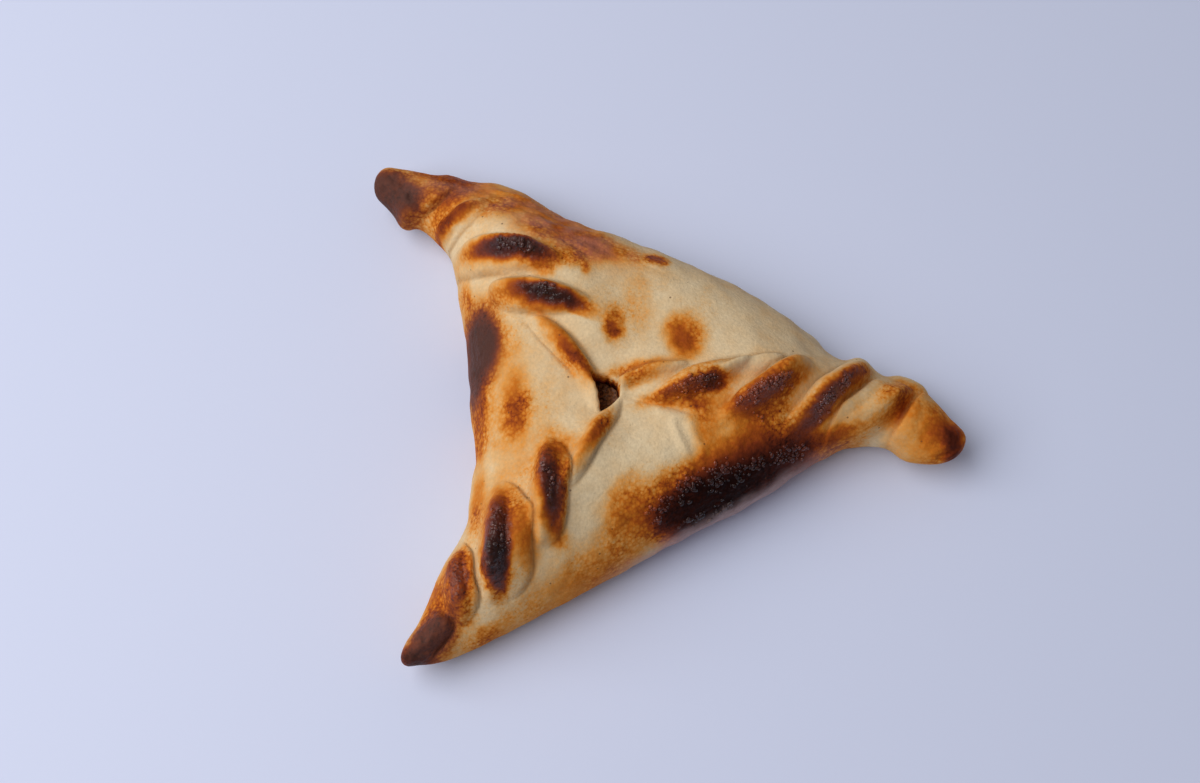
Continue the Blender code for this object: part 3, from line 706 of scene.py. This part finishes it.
def browned(places):
    """For points of the crust: how brown it is, how far soot and painted shade in the creases, and flour
    and a painted reflection at the front foot, have greyed it, and how glossy it is, where the burnt
    crests have boiled to a glaze."""
    own_plan = places[:, :2]
    plan = own_plan.copy()
    for axis in (0, 1):
        wander = unevenness(places, 2.4 * MM, 5 + axis) + 0.5 * unevenness(places, 0.9 * MM, 8 + axis)
        plan[:, axis] += WANDERING * wander
    pale = 1 - PALE_BROWN - 0.06 * unevenness(places, 7 * MM, 10)
    pale = pale - 0.05 * unevenness(places, 2.6 * MM, 11)
    soot_and_crease_shade = np.zeros(len(plan))
    flour = np.zeros(len(plan))
    glaze = np.zeros(len(plan))
    bloom = ease(-0.5, 0.4, unevenness(places, 3.5 * MM, 16))
    for name, (x, y, long, wide, turn, level, firm) in PATCHES.items():
        offset = plan - np.array([x, y]) * MM
        turn = math.radians(turn)
        along = offset @ np.array([math.cos(turn), math.sin(turn)])
        across = offset @ np.array([-math.sin(turn), math.cos(turn)])
        share = 0.5**(np.hypot(along / (long * MM), across / (wide * MM))**firm)
        first, last = name.split()[0], name.split()[-1]
        if first in PLEATS and last in ("core", "halo"):
            share = share * within_lip(own_plan, PLEATS[first])
        if last == "flour":
            flour = np.maximum(flour, level * share * bloom)
            continue
        pale = pale * (1 - level * share)
        if last == "soot":
            soot_and_crease_shade = np.maximum(soot_and_crease_shade, share)
        if last == "core":
            glaze = np.maximum(glaze, share)
    brown = 1 - pale
    above_base = places[:, 2] - lift(own_plan)
    # The foot of the front wall gets a painted reflection, laid on together with the flour.
    flour = np.maximum(flour, front_foot_reflection(places, above_base))
    # Painted shade in the crease beside each pleat's free edge: the dough there is stained towards brown
    # and greyed with the soot colour.
    for pleat in PLEATS.values():
        across, lip, rise, end = pleat_frame(own_plan, pleat)
        crease = np.exp(-((across - lip - CREASE_OFFSET) / CREASE_SHADE_WIDTH)**2) * rise * end
        painted_crease_shade = np.where(brown < CREASE_SHADE_BROWN, CREASE_SHADE_SHARE * crease, 0)
        brown = brown + (CREASE_SHADE_BROWN - brown) * painted_crease_shade
        soot_and_crease_shade = np.maximum(soot_and_crease_shade, CREASE_SHADE_GREY * crease)
    low = 1 - ease(*FOOT_REACH, above_base)
    brown = brown + (FOOT_BROWN - brown) * low * FOOT_STAIN
    under = 1 - ease(*BASE_REACH, above_base)
    brown = brown + (BASE_BROWN + 0.12 * unevenness(places, 5 * MM, 12) - brown) * under
    in_hole = ease(-0.1 * MM, 0.3 * MM, hole_depth_in(own_plan))
    below_rim = 1 - ease(HOLE_RIM - 0.5 * MM, HOLE_RIM + 0.5 * MM, places[:, 2])
    brown = brown + (HOLE_BROWN - brown) * in_hole * below_rim
    return brown, soot_and_crease_shade, flour, glaze * ease(*GLAZED_FROM, brown)


def store(mesh, name, values):
    attribute = mesh.attributes.new(name, "FLOAT", "POINT")
    attribute.data.foreach_set("value", np.ascontiguousarray(values, dtype=np.float32))


def add_node(tree, kind, inputs=None, **settings):
    """A new node with its settings, and its inputs set to values or linked to sockets."""
    node = tree.nodes.new(kind)
    for name, value in settings.items():
        setattr(node, name, value)
    for name, value in (inputs or {}).items():
        if isinstance(value, bpy.types.NodeSocket):
            tree.links.new(value, node.inputs[name])
        else:
            node.inputs[name].default_value = value
    return node


def attribute_value(tree, name):
    return add_node(tree, "ShaderNodeAttribute", attribute_name=name).outputs["Fac"]


def sums(tree, operation, *values):
    """A Math node's result."""
    return add_node(tree, "ShaderNodeMath", dict(enumerate(values)), operation=operation).outputs[0]


def ranged(tree, value, low, high, to_low, to_high):
    """The value stretched from one range to another, and held at the ends."""
    return add_node(tree, "ShaderNodeMapRange", {
        "Value": value, "From Min": low, "From Max": high, "To Min": to_low, "To Max": to_high,
    }).outputs["Result"]


def noise(tree, place, scale, detail, **more):
    """Cloudy noise at a place, with so many swells to the metre."""
    inputs = {"Vector": place, "Scale": scale, "Detail": detail, **more}
    return add_node(tree, "ShaderNodeTexNoise", inputs).outputs["Fac"]


def cells(tree, place, scale, **settings):
    """Round cells at a place, so many to the metre: distance from the middle, and colour."""
    inputs = {"Vector": place, "Scale": scale}
    return add_node(tree, "ShaderNodeTexVoronoi", inputs, **settings).outputs


def chance_of(tree, cell):
    """A value from 0 to 1 that each cell has by chance, taken from its colour."""
    return add_node(tree, "ShaderNodeSeparateColor", {"Color": cell["Color"]}).outputs[0]


def laid_over(tree, share, under, over, **settings):
    """One colour over another. A Mix node's inputs 0, 6 and 7 are its share and its colours."""
    inputs = {0: share, 6: under, 7: over}
    return add_node(tree, "ShaderNodeMix", inputs, data_type="RGBA", **settings).outputs[2]


def mottled_brown(tree, place, brown, grain):
    """How brown the dough is, with the mottling, the bubbles and the flecks that it has where
    it is half baked."""
    mottle = noise(tree, place, 330, 4)
    fleck = noise(tree, place, 1700, 1)
    region = noise(tree, place, 75, 1)
    bubble = cells(tree, place, 1250)
    half_baked = sums(tree, "MULTIPLY", brown, sums(tree, "SUBTRACT", 1.1, brown))
    half_baked = sums(tree, "MULTIPLY", half_baked, 3.2)
    change = sums(tree, "MULTIPLY", sums(tree, "SUBTRACT", grain, 0.5), 0.14)
    mottling = sums(tree, "SUBTRACT", mottle, 0.5)
    change = sums(tree, "MULTIPLY_ADD", mottling, 0.22, change)
    bubbly = sums(tree, "MULTIPLY", ranged(tree, region, 0.40, 0.56, 0.25, 1.0),
                  ranged(tree, brown, 0.20, 0.48, 0.3, 1.0))
    bubbly = sums(tree, "MULTIPLY", bubbly, ranged(tree, brown, 0.50, 0.72, 1.0, 0.4))
    shade = sums(tree, "MULTIPLY", sums(tree, "SUBTRACT", chance_of(tree, bubble), 0.5), 0.17)
    rounding = sums(tree, "SUBTRACT", bubble["Distance"], 0.4)
    shade = sums(tree, "MULTIPLY_ADD", rounding, 0.28, shade)
    change = sums(tree, "MULTIPLY_ADD", shade, bubbly, change)
    flecked = sums(tree, "MULTIPLY", ranged(tree, fleck, 0.56, 0.70, 0.0, 0.14),
                   ranged(tree, region, 0.45, 0.60, 0.0, 1.0))
    change = sums(tree, "ADD", change, flecked)
    return sums(tree, "MULTIPLY_ADD", change, half_baked, brown)


def dough_colour(tree, place, level, grain):
    """The colour of dough baked to a level, with specks, soot and painted crease shade, flour and the
    painted reflection at the front foot, and the grain of the meal.
    """
    ramp = add_node(tree, "ShaderNodeValToRGB", {"Fac": level})
    stops = ramp.color_ramp.elements
    while len(stops) < len(BAKING):
        stops.new(0.5)
    for stop, (position, colour) in zip(stops, BAKING):
        stop.position = position
        stop.color = (*colour, 1)
    specks = cells(tree, place, 330)
    picked = ranged(tree, chance_of(tree, specks), 0.45, 0.451, 0.0, 1.0)
    speck = sums(tree, "MULTIPLY", picked, ranged(tree, specks["Distance"], 0.05, 0.09, 0.7, 0.0))
    # The soot share also carries the painted shade of the creases.
    soot = sums(tree, "MULTIPLY", attribute_value(tree, "soot_and_crease_shade"), 0.6)
    # The flour share also carries the painted reflection at the foot of the front wall.
    flour = sums(tree, "MULTIPLY", attribute_value(tree, "flour"), 0.85)
    colour = laid_over(tree, speck, ramp.outputs["Color"], SPECK_COLOUR)
    colour = laid_over(tree, soot, colour, SOOT_AND_SHADE_COLOUR)
    colour = laid_over(tree, flour, colour, FLOUR_AND_REFLECTION_COLOUR)
    grains = ranged(tree, grain, 0.3, 0.7, 0.90, 1.07)
    return laid_over(tree, 1.0, colour, grains, blend_type="MULTIPLY")


def dough_material(name, rough_pale, rough_burnt, shine):
    material, tree, shader = new_material(name)
    place = add_node(tree, "ShaderNodeTexCoord").outputs["Object"]
    brown = attribute_value(tree, "browning")
    grain = noise(tree, place, 1500, 3)
    level = mottled_brown(tree, place, brown, grain)
    tree.links.new(dough_colour(tree, place, level, grain), shader.inputs["Base Color"])
    tree.links.new(ranged(tree, level, 0.1, 0.9, rough_pale, rough_burnt), shader.inputs["Roughness"])
    shader.inputs["Specular IOR Level"].default_value = shine

    bubble = cells(tree, place, 1150, feature="SMOOTH_F1")
    boiled = sums(tree, "MULTIPLY", sums(tree, "SUBTRACT", 0.8, bubble["Distance"]),
                  ranged(tree, brown, 0.4, 0.85, 0.0, 1.0))
    skin = noise(tree, place, 1200, 6, Roughness=0.62)
    relief = sums(tree, "MULTIPLY_ADD", skin, 0.9, boiled)
    bump = add_node(tree, "ShaderNodeBump", {"Height": relief, "Distance": 0.25 * MM, "Strength": 0.9})
    tree.links.new(bump.outputs["Normal"], shader.inputs["Normal"])
    glaze_bump = add_node(tree, "ShaderNodeBump", {
        "Height": noise(tree, place, 750, 3), "Distance": 0.9 * MM, "Strength": 1.0,
    })
    glaze = sums(tree, "MULTIPLY", attribute_value(tree, "glaze"), 0.6)
    tree.links.new(glaze_bump.outputs["Normal"], shader.inputs["Coat Normal"])
    tree.links.new(glaze, shader.inputs["Coat Weight"])
    shader.inputs["Coat Roughness"].default_value = 0.15
    return material


# The pocket for the filling: the thickness of the dough over it, thicker at the hole, the gap
# between the two, the filling's plan outline, and how its top is rounded.
CRUST_THICKNESS = 2.8 * MM
LIP_THICKENING = 1.5 * MM
LIP_SPREAD = 12 * MM
BASE_THICKNESS = 2.6 * MM
GAP = 0.35 * MM
FILLING_OUTLINE = np.array([
    (35, 1), (31.5, -4.5), (20, -12.5), (4, -21.5), (-12, -30.2), (-28, -38.5), (-37.5, -43),
    (-40.5, -41), (-38.5, -33), (-35, -21), (-34.6, -2), (-36, 11.5), (-38.5, 25), (-41, 35),
    (-44, 43.5), (-39.5, 46.5), (-31, 44.5), (-20, 37.4), (-5, 31), (7, 25), (17.5, 18.3),
    (27.5, 9.5),
]) * MM
FILLING_ROUNDING = 16 * MM
FILLING_SQUEEZE = 4 * MM
ROOF_BLEND = 1 * MM
POCKET_CELL = 1.2 * MM

# Unevenness that baking leaves in the crust: the length of the swells, their seed and their
# height, in millimetres; on the browned skin also between which levels of brown they set in.
SIDEWAYS_SWELLS = (5, 20, 0.45)
SWELLS = ((11, 1, 0.35), (3, 2, 0.10))
CRISP_SWELLS = ((1.1, 3, 0.32, (0.6, 0.9)), (1.9, 4, 0.32, (0.25, 0.5)))

# The flat underside needs fewer cells than the pleats.
UNDERSIDE_TOP = 0.4 * MM
UNDERSIDE_CELLS = 0.62


def filling_top(plan, depth):
    """The filling's own dome, kept under the dough that lies over it."""
    wall = CRUST_THICKNESS + LIP_THICKENING * np.exp(-(hole_radius(plan) / LIP_SPREAD)**2)
    roof = crust_top(plan, edge_distance(plan, crust_outline)[0]) - wall
    own = EDGE_HEIGHT + (BODY_HEIGHT - EDGE_HEIGHT) * domed(depth, FILLING_ROUNDING)
    return -soft_max(-own, -roof, ROOF_BLEND)


def filling_bottom(plan, depth):
    return BASE_THICKNESS + (EDGE_HEIGHT - BASE_THICKNESS) * curled_base(depth)


crust_outline = outline_points(OUTLINE)
crust = inflated("dough", OUTLINE, crust_top, crust_bottom, CRUST_SQUEEZE, CRUST_CELL)
places = vertices_of(crust.data)
plan = places[:, :2].copy()
depth = edge_distance(plan, crust_outline)[0]
smooth_top = crust_top(plan, depth)
height = add_pleats(plan, smooth_top + seam_height(plan))
height = open_hole(plan, press_folds(plan, height + finger_marks(plan)))
middle = (smooth_top + crust_bottom(plan, depth)) / 2
on_top = ease(0, 1, (places[:, 2] - middle) / np.maximum(smooth_top - middle, 1 * MM))
places[:, 2] += (height - smooth_top) * on_top
swell, seed, high = SIDEWAYS_SWELLS
for axis in (0, 1):
    places[:, axis] += unevenness(places, swell * MM, seed + axis) * high * MM
for swell, seed, high in SWELLS:
    places[:, 2] += unevenness(places, swell * MM, seed) * high * MM * on_top
brown = browned(places)[0]
for swell, seed, high, sets_in in CRISP_SWELLS:
    places[:, 2] += unevenness(places, swell * MM, seed) * high * MM * on_top * ease(*sets_in, brown)
move_vertices(crust.data, places)

underside = crust.vertex_groups.new(name="underside")
underside.add(np.flatnonzero(places[:, 2] < UNDERSIDE_TOP).tolist(), 1, "REPLACE")
fewer = crust.modifiers.new("Fewer cells below", "DECIMATE")
fewer.vertex_group = "underside"
fewer.ratio = UNDERSIDE_CELLS
crust = baked_mesh(crust, crust.name)

pocket = inflated("pocket", FILLING_OUTLINE, filling_top, filling_bottom, FILLING_SQUEEZE, POCKET_CELL)
grow = pocket.modifiers.new("Grow", "DISPLACE")
grow.strength = GAP
grow.mid_level = 0
pocket = baked_mesh(pocket, "pocket")
hollow = crust.modifiers.new("Pocket", "BOOLEAN")
hollow.operation = "DIFFERENCE"
hollow.solver = "MANIFOLD"
hollow.object = pocket
crust = baked_mesh(crust, "dough")
bpy.data.objects.remove(pocket)
crust.vertex_groups.clear()
crust.data.shade_smooth()

finish = dict(zip(("browning", "soot_and_crease_shade", "flour", "glaze"), browned(vertices_of(crust.data))))
for name, values in finish.items():
    store(crust.data, name, values)
baked_dough = dough_material("baked dough", rough_pale=0.62, rough_burnt=0.38, shine=0.02)
crust.data.materials.clear()
crust.data.materials.append(baked_dough)
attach(crust, "root")
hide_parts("crust")

# ---------------------------------------------------------------------------
# Blisters: beads of scorched dough. Where the oven burnt the crust, its skin boiled up into
# glossy beads half a millimetre to a millimetre across. They are the dough itself, half sunk
# in the burnt patches.

# How thickly the beads stand where the skin boiled most, how near to each other, how small
# and how large, how strongly small ones prevail, and how much longer and lower than round.
BLISTERS_PER_SQUARE_METRE = 5.0e6
BLISTER_SPACING = 0.56 * MM
LEAST_BLISTER = 0.24 * MM
MOST_BLISTER = 0.56 * MM
SMALL_PREVAIL = 1.4
BLISTER_STRETCH = 1.4
BLISTER_HEIGHT = 0.75
BLISTER_SEED = 7
SPIN_SEED = 3
HALF_TURN = 3.14

# Bands in which the skin boiled, in millimetres: a plan curve and the half width beside it.
BLISTER_BANDS = {
    "front upper edge": ((-4.0, -28.5), (3.0, -22.5), (13.0, -18.5), 1.4),
    "front middle": ((8.0, -20.5), (12.5, -18.5), (17.5, -17.0), 1.8),
    "front right": ((17.0, -17.0), (23.5, -14.0), (30.5, -10.8), 0.9),
    "front lower": ((2.0, -28.0), (9.0, -25.0), (15.0, -21.8), 0.5),
    "A2": ((-26.0, 18.6), (-24.0, 18.2), (-21.5, 17.4), 0.8),
    "A3": ((-34.5, 29.4), (-31.0, 28.8), (-26.5, 27.7), 0.8),
    "B1": ((1.5, -3.6), (7.0, -2.0), (11.5, -1.2), 1.1),
    "B2": ((13.5, -6.4), (20.5, -3.4), (27.5, 1.5), 1.1),
    "B2 lower": ((17.0, -8.5), (21.5, -7.5), (27.0, -5.0), 1.0),
    "B3": ((30.5, -6.5), (34.5, -2.6), (38.5, 1.2), 0.8),
    "C2": ((-23.8, -20.0), (-23.2, -23.7), (-22.4, -27.5), 1.0),
    "C3": ((-33.0, -28.0), (-32.5, -33.0), (-31.8, -38.0), 1.1),
    "freckles": ((8.8, -6.5), (8.6, -9.5), (8.2, -13.0), 1.0),
}
BAND_STEPS = 12


def blistering(places, brown):
    """How thickly the beads stand at points of the crust: 0 none, 1 close together."""
    share = np.zeros(len(places))
    for *line, half_width in BLISTER_BANDS.values():
        along, across = along_and_across(places[:, :2], curve_through(*line, BAND_STEPS))
        band = 0.5**((np.abs(across) / (half_width * MM))**3)
        share = np.maximum(share, band * ease(0, 0.1, along) * (1 - ease(0.9, 1, along)))
    clustered = ease(-0.45, 0.05, unevenness(places, 2.2 * MM, 15))
    return share * clustered * ease(0.5, 0.7, brown)


glazed_blister = dough_material("glazed blister", rough_pale=0.26, rough_burnt=0.18, shine=0.35)
blister_inputs = {
    "Density": ("NodeSocketFloat", BLISTERS_PER_SQUARE_METRE),
    "Spacing": ("NodeSocketFloat", BLISTER_SPACING),
    "Least radius": ("NodeSocketFloat", LEAST_BLISTER),
    "Most radius": ("NodeSocketFloat", MOST_BLISTER),
    "Stretch": ("NodeSocketFloat", BLISTER_STRETCH),
    "Seed": ("NodeSocketInt", BLISTER_SEED),
    "Material": ("NodeSocketMaterial", glazed_blister),
}


def blister_tree():
    """Strews beads over a mesh, as thickly as its attribute "blistering" says."""
    tree = bpy.data.node_groups.new("blisters", "GeometryNodeTree")
    panel = tree.interface
    panel.new_socket(name="Geometry", in_out="INPUT", socket_type="NodeSocketGeometry")
    for name, (kind, _) in blister_inputs.items():
        panel.new_socket(name=name, in_out="INPUT", socket_type=kind)
    panel.new_socket(name="Geometry", in_out="OUTPUT", socket_type="NodeSocketGeometry")
    given = tree.nodes.new("NodeGroupInput").outputs
    share = add_node(tree, "GeometryNodeInputNamedAttribute", {"Name": "blistering"})
    points = add_node(tree, "GeometryNodeDistributePointsOnFaces", {
        "Mesh": given["Geometry"], "Distance Min": given["Spacing"],
        "Density Max": given["Density"], "Density Factor": share.outputs["Attribute"],
        "Seed": given["Seed"],
    }, distribute_method="POISSON")
    bead = add_node(tree, "GeometryNodeMeshUVSphere", {"Radius": 1.0, "Segments": 8, "Rings": 5})
    draw = add_node(tree, "FunctionNodeRandomValue", {"Seed": given["Seed"]}, data_type="FLOAT")
    mostly_small = sums(tree, "POWER", draw.outputs[1], SMALL_PREVAIL)
    size = add_node(tree, "ShaderNodeMapRange", {
        "Value": mostly_small, "To Min": given["Least radius"], "To Max": given["Most radius"],
    }).outputs[0]
    stretch = add_node(tree, "FunctionNodeRandomValue", {
        "Min": 1.0, "Max": given["Stretch"], "Seed": given["Seed"],
    }, data_type="FLOAT")
    scale = add_node(tree, "ShaderNodeCombineXYZ", {
        "X": sums(tree, "MULTIPLY", size, stretch.outputs[1]), "Y": size,
        "Z": sums(tree, "MULTIPLY", size, BLISTER_HEIGHT),
    })
    angle = add_node(tree, "FunctionNodeRandomValue", {"Max": HALF_TURN, "Seed": SPIN_SEED},
                     data_type="FLOAT")
    angles = add_node(tree, "ShaderNodeCombineXYZ", {"Z": angle.outputs[1]})
    spin = add_node(tree, "FunctionNodeEulerToRotation", {"Euler": angles.outputs[0]})
    turned = add_node(tree, "FunctionNodeRotateRotation", {
        "Rotation": points.outputs["Rotation"], "Rotate By": spin.outputs[0],
    }, rotation_space="LOCAL")
    placed = add_node(tree, "GeometryNodeInstanceOnPoints", {
        "Points": points.outputs["Points"], "Instance": bead.outputs["Mesh"],
        "Rotation": turned.outputs[0], "Scale": scale.outputs[0],
    })
    real = add_node(tree, "GeometryNodeRealizeInstances", {"Geometry": placed.outputs[0]})
    smooth = add_node(tree, "GeometryNodeSetShadeSmooth", {"Geometry": real.outputs[0]})
    painted = add_node(tree, "GeometryNodeSetMaterial", {
        "Geometry": smooth.outputs[0], "Material": given["Material"],
    })
    result = tree.nodes.new("NodeGroupOutput")
    tree.links.new(painted.outputs[0], result.inputs[0])
    return tree


skin = in_scene("blister ground", crust.data.copy())
facing_up = normals_of(skin.data)[:, 2]
thickly = blistering(vertices_of(skin.data), finish["browning"])
store(skin.data, "blistering", thickly * ease(0.05, 0.25, facing_up))
grower = skin.modifiers.new("Blisters", "NODES")
grower.node_group = blister_tree()
for item in grower.node_group.interface.items_tree:
    if item.in_out == "INPUT" and item.name in blister_inputs:
        grower[item.identifier] = blister_inputs[item.name][1]
blisters = baked_mesh(skin, "blisters")
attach(blisters, "root")

# ---------------------------------------------------------------------------
# The filling: coarse minced meat with onion, browned and glossy with fat. It fills the dough,
# and only its top shows, in shadow, through the open triangle.

MINCE_DARK = (0.060, 0.018, 0.006, 1)
MINCE_LIGHT = (0.42, 0.150, 0.050, 1)
MINCE_CELL = 0.7 * MM

# Crumbs around the hole, in millimetres: how far out they lie, and how high or low they stand.
CRUMB_COUNT = 130
CRUMB_SPREAD = 8
CRUMB_RISE = 0.9
CRUMB_HALF_WIDTH = 1.1 * MM
CRUMB_SEED = 11
CRUMBS_END = (5.5 * MM, 8 * MM)


def minced_meat():
    material, tree, shader = new_material("minced meat")
    place = add_node(tree, "ShaderNodeTexCoord").outputs["Object"]
    ramp = add_node(tree, "ShaderNodeValToRGB", {"Fac": noise(tree, place, 1500, 4)})
    dark, light = ramp.color_ramp.elements
    dark.position = 0.36
    dark.color = MINCE_DARK
    light.position = 0.68
    light.color = MINCE_LIGHT
    bump = add_node(tree, "ShaderNodeBump", {
        "Height": cells(tree, place, 900)["Distance"], "Distance": 0.4 * MM, "Strength": 0.8,
    })
    tree.links.new(ramp.outputs["Color"], shader.inputs["Base Color"])
    tree.links.new(bump.outputs["Normal"], shader.inputs["Normal"])
    shader.inputs["Roughness"].default_value = 0.45
    shader.inputs["Specular IOR Level"].default_value = 0.25
    return material


filling = inflated("mince", FILLING_OUTLINE, filling_top, filling_bottom, FILLING_SQUEEZE, MINCE_CELL)
places = vertices_of(filling.data)
chance = np.random.default_rng(CRUMB_SEED)
crumbs = HOLE + chance.uniform(-CRUMB_SPREAD, CRUMB_SPREAD, (CRUMB_COUNT, 2)) * MM
crumb_heights = chance.uniform(-CRUMB_RISE, CRUMB_RISE, CRUMB_COUNT) * MM
gaps = np.sqrt(((places[:, None, :2] - crumbs[None])**2).sum(2))
slope = np.clip(gaps.min(1) / CRUMB_HALF_WIDTH, 0, 1.2)**2 * CRUMB_RISE * MM
lump = crumb_heights[gaps.argmin(1)] - slope
under_hole = 1 - ease(*CRUMBS_END, hole_radius(places[:, :2]))
places[:, 2] += (lump - 0.2 * MM) * (places[:, 2] > BODY_HEIGHT / 2) * under_hole
move_vertices(filling.data, places)
filling.data.shade_smooth()
filling.data.materials.clear()
filling.data.materials.append(minced_meat())
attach(filling, "root")
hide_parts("filling")
